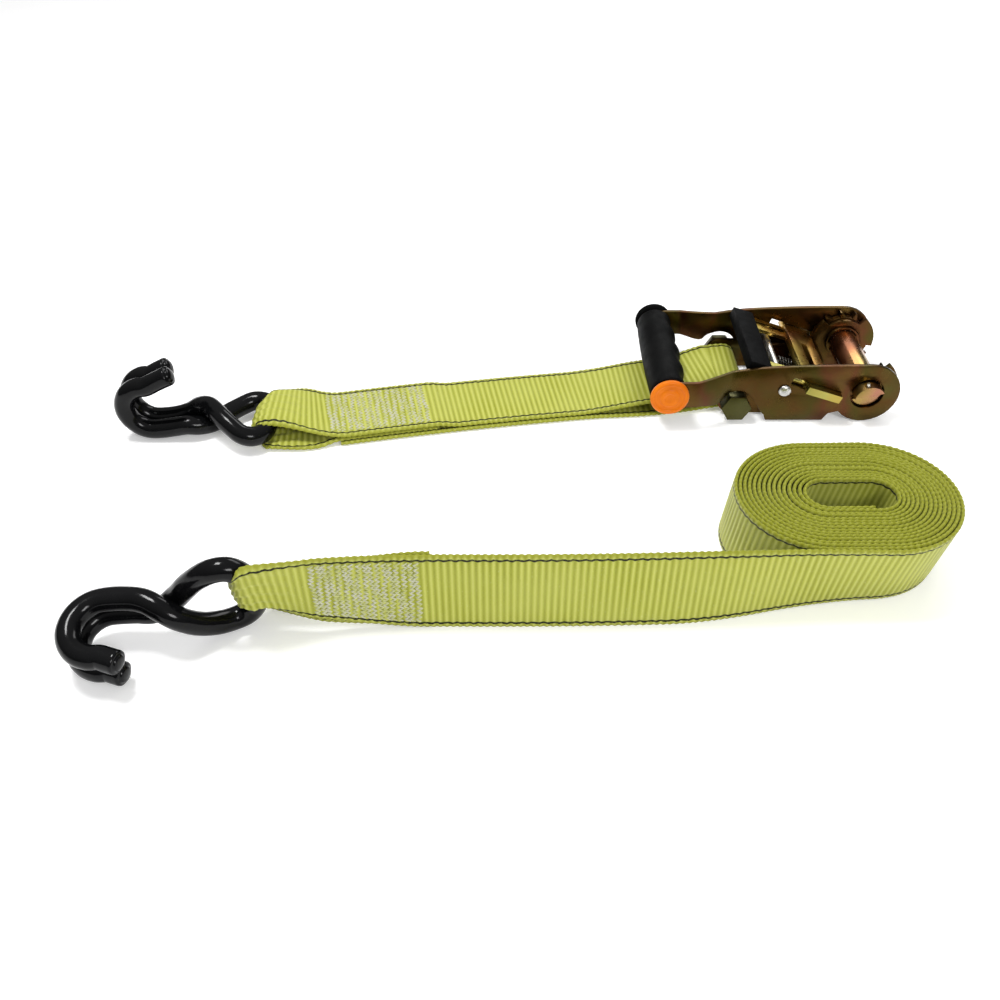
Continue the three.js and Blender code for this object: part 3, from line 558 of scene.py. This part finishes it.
def fixed_strap():
    """From its end near hook A, along the floor and round the bolt's sleeve, then back over itself
    to hook A's bar, round it, and in between its own layers."""
    loop = SLEEVE_RADIUS + SLEEVE_GAP + WEB_THICK / 2
    low, mid, high = 1.2, 3.3, 5.4
    eye_top, eye_low = eye_ends(HOOK_A.x, HOOK_A.z)
    sections = [
        [(-104, low), (100, low)],
        bezier((100, low), (122, low), (132, BOLT.z - loop - 0.9), (BOLT.x, BOLT.z - loop)),
        arc(BOLT.x, BOLT.z, loop, -90, 90),
        bezier((BOLT.x, BOLT.z + loop), (130, 18.4), (124, 10.8), (104, 10.5)),
        bezier((104, 10.5), (80, 9.4), (70, mid + 0.3), (45, mid)),
        [(45, mid), (-28, mid)],
        bezier((-28, mid), (-36, mid), (-38, high), (-46, high)),
        [(-46, high), (-100, high)],
        bezier((-100, high), (-116, 6), (-128, 14), eye_top),
        arc(HOOK_A.x, HOOK_A.z, EYE_RADIUS, EYE_WRAP, 360 - EYE_WRAP),
        bezier(eye_low, (-134, 1.1), (-126, low), (-119, low)),
        bezier((-119, low), (-112, low), (-110, mid), (-104, mid)),
        [(-104, mid), (-44, mid)],
    ]
    path, along = resample(np.concatenate(sections), RIB_PITCH / 8)
    x, z = path[:, 0], path[:, 1]
    bolt_at = along[np.argmax(x)]
    lower = smoothstep(130 - x, 0, 60) * (along < bolt_at)
    flat = smoothstep(x, HOOK_A.x + 2, HOOK_A.x + 36)
    eye_at = along[np.argmin(x)]
    skew = -SKEW_A * layer(along - eye_at) * (1 - smoothstep(x, HOOK_A.x + 10, HOOK_A.x + 46))
    y = strap_middle(x) - 2.0 * lower * flat + skew
    stations, step = np.linspace(-160, 160, 641, retstep=True)
    slope = np.gradient(strap_middle(stations), step)
    heading = np.interp(x, stations, slope) * smoothstep(x, HOOK_A.x, HOOK_A.x + 40)
    half = half_width(x, HOOK_A.x, WEB_WIDTH / 2, 30)
    across = np.stack([-heading, np.ones_like(x), np.zeros_like(x)], -1)
    across *= (half / np.linalg.norm(across, axis=1))[:, None]
    centre = np.stack([x, y, z], -1)
    return Strap(centre, -across, along, 1 - smoothstep(x, HOOK_A.x + 2, HOOK_A.x + 30))


def coil_path():
    """Turns of the roll, from its outermost straight run to the free end inside its slot."""
    halves, steps, gathering = 2 * TURNS, 48, 1.6
    end_x, end_lift = 12, 0.4
    drop = (LEAD_RADIUS - COIL_INNER - WEB_THICK / 2) / halves
    points = []
    radius = LEAD_RADIUS
    for half_turn in range(halves):
        inward = (half_turn / (halves - 1)) ** gathering
        right = half_turn % 2 == 0
        middle = COIL_X + (COIL_STRAIGHT if right else INNER_SHIFT * inward - COIL_STRAIGHT)
        start = -90 if right else 90
        for k in range(steps + 1):
            angle = math.radians(start + 180 * k / steps)
            reach = radius - drop * k / steps
            points.append((middle + reach * math.cos(angle), COIL_Y + reach * math.sin(angle)))
        radius -= drop
    points.append((COIL_X + end_x, COIL_Y - radius + end_lift))
    return points


def loose_strap():
    """From its sewn end, round hook B's bar, along the lead and round every turn of the roll. Beside
    the bar the layer after the eye keeps the full width's upper edge, and the one before it lies low."""
    far, near = -109.85, -112.0
    eye_top, eye_low = eye_ends(HOOK_B.x, HOOK_B.y)
    roll_y = COIL_Y - LEAD_RADIUS
    sections = [
        [(-34, far), (-62, far)],
        bezier((-62, far), (-82, far), (-100, -107.5), eye_top),
        arc(HOOK_B.x, HOOK_B.y, EYE_RADIUS, EYE_WRAP, 360 - EYE_WRAP),
        bezier(eye_low, (-102, -115.5), (-70, near), (-25, near)),
        bezier((-25, near), (60, near - 0.55), (110, -109.55), (140, roll_y - 0.5)),
        bezier((140, roll_y - 0.5), (150, roll_y - 0.05), (158, roll_y), (COIL_X - COIL_STRAIGHT, roll_y)),
        coil_path(),
    ]
    path, along = resample(np.concatenate(sections), RIB_PITCH / 7)
    x, y = path[:, 0], path[:, 1]
    flat = smoothstep(x, HOOK_B.x + 2, HOOK_B.x + 36)
    eye_at = along[np.argmin(x)]
    on_roll = along > along[np.argmax(x > LEAN_END)]
    rolled = np.where(on_roll, 1.0, smoothstep(x, LEAN_START, LEAN_END))
    bar = np.array(HOOK_B_TURN.to_matrix() @ Vector((0, 1, 0)))
    bar /= bar[2]
    lean = np.stack([np.zeros_like(x), -COIL_LEAN / COIL_HEIGHT * rolled, np.ones_like(x)], -1)
    upright = bar[None, :] * (1 - flat)[:, None] + lean * flat[:, None]
    height = WEB_WIDTH + (COIL_HEIGHT - WEB_WIDTH) * rolled
    half = half_width(x, HOOK_B.x, height / 2, 88)
    side = layer(along - eye_at)
    lift = (HOOK_B.z - height / 2) * (1 - flat)
    skew = side * (height / 2 - half) - lift * (1 - side) / 2
    uneven = 0.55 * np.sin(along * 0.0145) * np.sin(along * 0.0365 + 1) * smoothstep(x, 100, 160)
    off_floor = 0.25
    z = HOOK_B.z + (height / 2 - HOOK_B.z) * flat + uneven + off_floor
    y = y + COIL_LEAN / 2 * rolled
    centre = np.stack([x, y, z], -1) + upright * skew[:, None]
    return Strap(centre, upright * half[:, None], along, 1 - smoothstep(x, HOOK_B.x + 2, HOOK_B.x + 30))


def patch_span(strap, patch, way):
    """Distances along the strap, on one side of its eye, between which its layers are sewn."""
    search = 120
    eye = int(np.argmin(strap.centre[:, 0]))
    reach = int(search / (strap.along[1] - strap.along[0]))
    part = slice(eye, eye + reach) if way > 0 else slice(max(0, eye - reach), eye)
    x, along = strap.centre[part, 0], strap.along[part]
    ends = [float(along[np.argmin(np.abs(x - edge))]) for edge in patch]
    return min(ends), max(ends)


def stitch_path(strap, at, phase, side):
    """One row of zigzag thread across the strap. It wanders, and dips in at every turn."""
    stitches, steps, reach, swing = 26, 4, 0.81, 1.25
    path = []
    for k in range(stitches * steps + 1):
        t = k / (stitches * steps)
        wander = 0.55 * math.sin(7 * t + phase * 1.9) + 0.3 * math.sin(17 * t + phase * 0.7)
        corner = 4 * abs((k / (2 * steps)) % 1 - 0.5) - 1
        lift = 0.34 * abs(math.sin(math.pi * k / steps)) - 0.06
        path.append(strap.spot(at + swing * corner + wander, reach * (2 * t - 1), side, lift))
    return path


def stitch_patch(name, strap, first, last, side, body):
    """Rows of zigzag thread over the part of the strap where its layers are sewn together."""
    rows, thread_radius, thread_sides = 17, 0.42, 6
    pitch = (last - first) / rows
    verts, faces = [], []
    for i in range(rows):
        path = stitch_path(strap, first + (i + 0.5) * pitch, i, side)
        rings = tube_rings(path, thread_radius, thread_sides)
        start = len(verts)
        count, sides, _ = rings.shape
        verts.extend(((rings.reshape(-1, 3) + np.array(OFFSET)) * MM).tolist())
        for r in range(count - 1):
            for s in range(sides):
                a = start + r * sides + s
                b = start + r * sides + (s + 1) % sides
                faces.append((a, b, b + sides, a + sides))
        faces.append(tuple(start + s for s in reversed(range(sides))))
        faces.append(tuple(start + (count - 1) * sides + s for s in range(sides)))
    mesh = bpy.data.meshes.new(name)
    mesh.from_pydata(verts, [], faces)
    return add_object(name, mesh, THREAD, body)


# ------------------------------------------------------------------ hooks

def shank_height(u):
    t = u / BEND_U
    return -BEND_DROP * t * t * (3 - 2 * t) + SHANK_BOW * math.sin(math.pi * t) ** 2


def strand(s, over, tips):
    """Half of the wire, from the eye's bar to one tip, in the hook's own axes."""
    rise = STRAND_STEP if over else -STRAND_STEP
    shank = [
        (0, 0, 0), (0, s * 10, 0), (-2.1, s * 15.9, 0), (-7, s * (EYE_HALF - 0.7), 0.1),
        (-13, s * (EYE_HALF - 0.4), 0.25), (-20, s * (EYE_HALF - 4.5), 0.6), (-28, s * 9, 0.92),
        (CROSS_U, 0, 1), (-43, -s * 4.9, 0.6), (-50, -s * TIP_SIDE, 0.12), (-58, -s * TIP_SIDE, 0),
    ]
    points = [(u, w, shank_height(u) + rise * share) for u, w, share in shank]
    for degrees in (-80, -55, -30, -5, 20, 45, 70, 90):
        angle = math.radians(degrees)
        u = BEND_U - BEND_RADIUS * math.cos(angle)
        points.append((u, -s * TIP_SIDE, BEND_RADIUS * (1 + math.sin(angle)) - BEND_DROP))
    flare = math.radians(TIP_FLARE)
    for part in (0.35, 1):
        length = tips[0 if over else 1] * part
        u = BEND_U + length * math.cos(flare)
        points.append((u, -s * TIP_SIDE, 2 * BEND_RADIUS + length * math.sin(flare) - BEND_DROP))
    return points


def centripetal(points, steps):
    """Smooth curve through the points, as evenly paced as its bends allow."""
    p = [np.array(q, float) for q in points]
    p = [2 * p[0] - p[1], *p, 2 * p[-1] - p[-2]]
    made = []
    for i in range(1, len(p) - 2):
        a, b, c, d = p[i - 1:i + 3]
        t0 = 0.0
        t1 = t0 + np.linalg.norm(b - a) ** 0.5
        t2 = t1 + np.linalg.norm(c - b) ** 0.5
        t3 = t2 + np.linalg.norm(d - c) ** 0.5
        for t in np.linspace(t1, t2, steps, endpoint=i == len(p) - 3):
            ab = (t1 - t) / (t1 - t0) * a + (t - t0) / (t1 - t0) * b
            bc = (t2 - t) / (t2 - t1) * b + (t - t1) / (t2 - t1) * c
            cd = (t3 - t) / (t3 - t2) * c + (t - t2) / (t3 - t2) * d
            abc = (t2 - t) / (t2 - t0) * ab + (t - t0) / (t2 - t0) * bc
            bcd = (t3 - t) / (t3 - t1) * bc + (t - t1) / (t3 - t1) * cd
            made.append((t2 - t) / (t2 - t1) * abc + (t - t1) / (t2 - t1) * bcd)
    return np.array(made)


def coat_end(point, before, reach):
    """Centres and radii of a coat's tip, from its round end in to its full thickness."""
    shape = [
        (0, 0.05), (0.15, 2.2), (0.5, 3.6), (1.0, 4.1),
        (1.6, 4.25), (1.65, 5.2), (2.0, 5.85), (reach, WIRE_RADIUS),
    ]
    outward = (point - before) / np.linalg.norm(point - before)
    return [(outward * (reach - depth + 0.01), radius) for depth, radius in shape]


def hook_coat(name, place, turn, tips, body, node):
    """The dipped coat. Each tip ends in a rounded collar with a smaller round end on it."""
    tip_length, steps, spacing, sides = 2.8, 14, 1.0, 32
    points = centripetal([*reversed(strand(-1, True, tips)), *strand(1, False, tips)[1:]], steps)
    path, along = resample(points, spacing)
    inner = along[2:-2]
    middle = np.stack([np.interp(inner, along, path[:, i]) for i in range(3)], -1)
    start = [(middle[0] + step, r) for step, r in coat_end(path[0], path[2], tip_length)]
    finish = [(middle[-1] + step, r) for step, r in reversed(coat_end(path[-1], path[-3], tip_length))]
    centres = np.array([p for p, _ in start] + list(middle[1:-1]) + [p for p, _ in finish])
    swell = WIRE_RADIUS + 0.06 * np.sin(inner[1:-1] * 0.35) * np.sin(inner[1:-1] * 0.083)
    radii = np.array([r for _, r in start] + list(swell) + [r for _, r in finish])
    rings = tube_rings(centres, radii, sides)
    matrix = np.array(turn.to_matrix())
    rings = rings @ matrix.T + np.array(place)
    coat = add_object(name, grid_mesh(name, rings), VINYL, body)
    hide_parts(node)


# ------------------------------------------------------------------ grip, caps, springs, rivet

def grip():
    """Black sleeve, fuller in its middle, with finger waves on the side towards the ratchet."""
    waves, wave, bulge = 4, 0.9, 1.0
    end_radius = GRIP_RADIUS - bulge - 1.0
    profile = [(LATHE_CENTRE, -GRIP_HALF), (end_radius, -GRIP_HALF)]
    for y in np.linspace(-GRIP_HALF + 0.3, GRIP_HALF - 0.3, 150):
        rounded = 0.7 * (abs(y) / GRIP_HALF) ** 60
        profile.append((GRIP_RADIUS - bulge * (y / GRIP_HALF) ** 2 - rounded, y))
    profile += [(end_radius, GRIP_HALF), (LATHE_CENTRE, GRIP_HALF)]

    def warp(ring):
        facing = np.maximum(0, ring[:, 0] / GRIP_RADIUS)
        ring[:, 0] += wave * facing * (np.cos(waves * math.pi * ring[:, 1] / GRIP_HALF) - 1)
        return ring

    sleeve = add_object("grip_moulding", lathe("grip_moulding", profile, GRIP, 96, warp), BLACK, "handle")
    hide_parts("grip_sleeve")


def ring_profile(points, fillet=0.22):
    """The profile with each corner cut by a small chamfer, so that edges catch the light."""
    made = [points[0]]
    for before, here, after in zip(points, points[1:], points[2:]):
        here = Vector(here)
        for other in (before, after):
            step = Vector(other) - here
            made.append(tuple(here + step.normalized() * min(fillet, step.length / 2.2)))
    made.append(points[-1])
    return made


def grip_cap(name, side, material, node):
    """Disc with raised rings on its outer face and a recess over the bolt's end."""
    seat, outer = GRIP_SEAT, GRIP_SEAT + CAP_LENGTH
    recess, recess_top = 4.9, seat + 1.9
    profile = ring_profile([
        (LATHE_CENTRE, recess_top), (recess, recess_top), (recess, seat),
        (CAP_RADIUS, seat), (CAP_RADIUS, outer - 0.9), (CAP_RADIUS - 1, outer - 0.2),
        (9.6, outer), (9, outer - 0.7), (6.4, outer - 0.7), (5.8, outer),
        (3.4, outer), (2.8, outer - 0.6), (LATHE_CENTRE, outer - 0.6),
    ])
    mesh = lathe(name, [(r, side * y) for r, y in profile], GRIP)
    if side > 0:
        mesh.flip_normals()
    cap = add_object(name, mesh, material, "handle")
    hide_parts(node)


def along_pawl(along, across):
    """Point on the drive pawl's line, or across it, from the foot of the mandrel's axis."""
    slope, foot = math.radians(18.7), 6.7
    offset = across - foot
    x = offset * math.sin(slope) - along * math.cos(slope)
    z = offset * math.cos(slope) + along * math.sin(slope)
    return MANDREL + Vector((x, 0, z))


def along_lock(along):
    """Point on the lock pawl's line, which runs down from the mandrel's axis."""
    slope = math.radians(20)
    return MANDREL + Vector((-along * math.cos(slope), 0, -along * math.sin(slope)))


def coil_spring(name, start, end, body, node):
    """Coil spring from its start to its end, where it is seated."""
    turns, steps, radius, wire, sides = 5, 24, 2.4, 0.4, 12
    axis = np.array(end - start)
    side = np.array((0.0, 1.0, 0.0))
    other = np.cross(axis / np.linalg.norm(axis), side)
    points = []
    for t in np.linspace(0, 1, turns * steps):
        angle = 2 * math.pi * t * turns
        outward = math.cos(angle) * side + math.sin(angle) * other
        points.append(np.array(start) + axis * t + radius * outward)
    spring = add_object(name, grid_mesh(name, tube_rings(points, wire, sides)), DULL, body)
    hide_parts(node)
    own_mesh(spring)


def cross_rivet():
    """Round bar between the handle plates with a domed head outside each."""
    x, z, bar, head, seat, dome = -52.2, 2.6, 2.5, 4.0, 37.8, 1.9
    half = [(LATHE_CENTRE, -seat - dome)]
    for degrees in range(10, 91, 10):
        angle = math.radians(degrees)
        half.append((head * math.sin(angle), -seat - dome * math.cos(angle)))
    half += [(head, -seat), (bar, -seat), (bar, -seat + 0.3)]
    near = ring_profile(half, 0.12)
    profile = near + [(r, -y) for r, y in reversed(near)]
    centre = MANDREL + Vector((x, 0, z))
    rivet = add_object("cross_rivet", lathe("cross_rivet", profile, centre, 48), STEEL, "handle")
    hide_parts("handle_cross_pin")


# ------------------------------------------------------------------ plated steel from the frame

def soften_group():
    """Geometry nodes that shade gentle edges smooth and leave sharp ones sharp."""
    tree = bpy.data.node_groups.new("soften", "GeometryNodeTree")
    tree.interface.new_socket("Geometry", in_out="INPUT", socket_type="NodeSocketGeometry")
    tree.interface.new_socket("Geometry", in_out="OUTPUT", socket_type="NodeSocketGeometry")
    entry, leave = tree.nodes.new("NodeGroupInput"), tree.nodes.new("NodeGroupOutput")
    faces, edges = (tree.nodes.new("GeometryNodeSetShadeSmooth") for _ in range(2))
    edges.domain = "EDGE"
    angle = tree.nodes.new("GeometryNodeInputMeshEdgeAngle")
    gentle = tree.nodes.new("FunctionNodeCompare")
    gentle.operation = "LESS_THAN"
    gentle.inputs[1].default_value = math.radians(32)
    tree.links.new(entry.outputs[0], faces.inputs[0])
    tree.links.new(faces.outputs[0], edges.inputs[0])
    tree.links.new(angle.outputs["Unsigned Angle"], gentle.inputs[0])
    tree.links.new(gentle.outputs[0], edges.inputs["Shade Smooth"])
    tree.links.new(edges.outputs[0], leave.inputs[0])
    return tree


def finish_node(name, material, bevel):
    """Keeps the frame's own solid, with rounded edges and its material."""
    obj = NODES[name]
    obj.data.materials.clear()
    obj.data.materials.append(material)
    same_point, sharp_edge = 1e-5, math.radians(35)
    weld = obj.modifiers.new("weld", "WELD")
    weld.merge_threshold = same_point
    if bevel:
        rounding = obj.modifiers.new("rounding", "BEVEL")
        rounding.width = bevel * MM
        rounding.segments = 2
        rounding.limit_method = "ANGLE"
        rounding.angle_limit = sharp_edge
        rounding.use_clamp_overlap = True
    soften = obj.modifiers.new("soften", "NODES")
    soften.node_group = SOFTEN


# ------------------------------------------------------------------ the whole set

make_camera()
make_floor()
make_world()
make_lights()
bpy.context.scene.view_settings.view_transform = "Standard"

BROWN, RED, DARK_OLIVE = (0.088, 0.045, 0.013), (0.108, 0.042, 0.018), (0.072, 0.055, 0.013)
OCHRE, GREEN, GOLD = (0.108, 0.066, 0.016), (0.078, 0.074, 0.020), (0.130, 0.094, 0.024)
COPPER, PINK, PALE_GREEN = (0.32, 0.125, 0.055), (0.34, 0.15, 0.10), (0.38, 0.35, 0.09)
AMBER, BRASS, TAN = (0.40, 0.27, 0.05), (0.46, 0.34, 0.08), (0.33, 0.23, 0.07)
RUST, BRONZE = (0.16, 0.06, 0.03), (0.26, 0.15, 0.05)
OLIVES = (0.040, 0.036, 0.010), (0.075, 0.072, 0.024), (0.135, 0.13, 0.055)
SOOT, COAL = (0.0018, 0.0019, 0.002), (0.0042, 0.0044, 0.0044)

ZINC = plated_steel("zinc_steel", 0.3, 0.88, BROWN, OCHRE, RED, DARK_OLIVE, BROWN, GREEN, GOLD)
BRIGHT = plated_steel("bright_zinc", 0.25, 1.0, COPPER, AMBER, PALE_GREEN, BRASS, PINK)
COPPERY = plated_steel("coppery_zinc", 0.24, 1.0, RUST, COPPER, TAN, PINK, BRONZE)
OLIVE = plated_steel("olive_bolt", 0.3, 0.8, *OLIVES)
STEEL = bare_steel("bare_steel", (0.42, 0.42, 0.41), (0.66, 0.65, 0.62))
DULL = bare_steel("dull_steel", (0.05, 0.05, 0.048), (0.12, 0.115, 0.105))
BLACK = moulded_plastic("black_plastic", SOOT, COAL, 0.55, 1400, 0.25, 0.045)
ORANGE = moulded_plastic("orange_plastic", (0.60, 0.125, 0.002), (0.72, 0.175, 0.004), 0.36, 900, 0.08, 0.14)
VINYL = dipped_vinyl()
WEBBING = webbing()
THREAD = thread()
SOFTEN = soften_group()

# Each plain piece of the frame: its material, the width of its rounded edges, and its nodes.
FINISHES = (
    (ZINC, 0.55, ("frame_channel", "handle_plate_near", "handle_plate_far")),
    (ZINC, 0.3, ("ratchet_wheel_near", "ratchet_wheel_far", "lock_pawl_plate")),
    (COPPERY, 0.45, ("mandrel_half_upper", "mandrel_half_lower")),
    (BRIGHT, 0.45, ("drive_pawl_plate",)),
    (OLIVE, 0.8, ("strap_bolt", "strap_bolt_nut")),
    (STEEL, 0.0, ("strap_bolt_sleeve", "mandrel_pin_near", "mandrel_pin_far", "grip_bolt", "grip_nut")),
    (STEEL, 0.0, ("hook_a_wire", "hook_b_wire")),
    (BLACK, 1.0, ("finger_pull",)),
)
for material, bevel, names in FINISHES:
    for name in names:
        finish_node(name, material, bevel)

hook_coat("hook_a_dip", HOOK_A, Euler((0, 0, 0)), TIPS_A, "hook_a", "hook_a_coat")
hook_coat("hook_b_dip", HOOK_B, HOOK_B_TURN, TIPS_B, "hook_b", "hook_b_coat")

fixed = fixed_strap()
fixed_web = add_object("fixed_webbing", fixed.mesh("fixed_webbing"), WEBBING, "frame")
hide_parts("fixed_strap")
loose = loose_strap()
loose_web = add_object("loose_webbing", loose.mesh("loose_webbing", 15), WEBBING, "loose_strap")
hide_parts("loose_strap_lead", "loose_strap_coil")

stitch_patch("fixed_stitches", fixed, *patch_span(fixed, PATCH_A, -1), 1, "frame")
stitch_patch("loose_stitches", loose, *patch_span(loose, PATCH_B, 1), 1, "loose_strap")
stitch_patch("loose_stitches_far", loose, *patch_span(loose, PATCH_B, -1), 1, "loose_strap")

grip()
grip_cap("grip_disc_near", -1, ORANGE, "grip_cap_near")
# The far cap takes the black plastic: painted shade, a dark colour for the orange cap's far end, which lies
# in shadow.
grip_cap("grip_disc_far", 1, BLACK, "grip_cap_far")
cross_rivet()
coil_spring(
    "lock_coil", along_lock(30.1), along_lock(39.6), "frame",
    "lock_pawl_spring")
coil_spring(
    "drive_coil", along_pawl(36.6, -7.5), along_pawl(46.9, -7.5), "handle",
    "drive_pawl_spring")
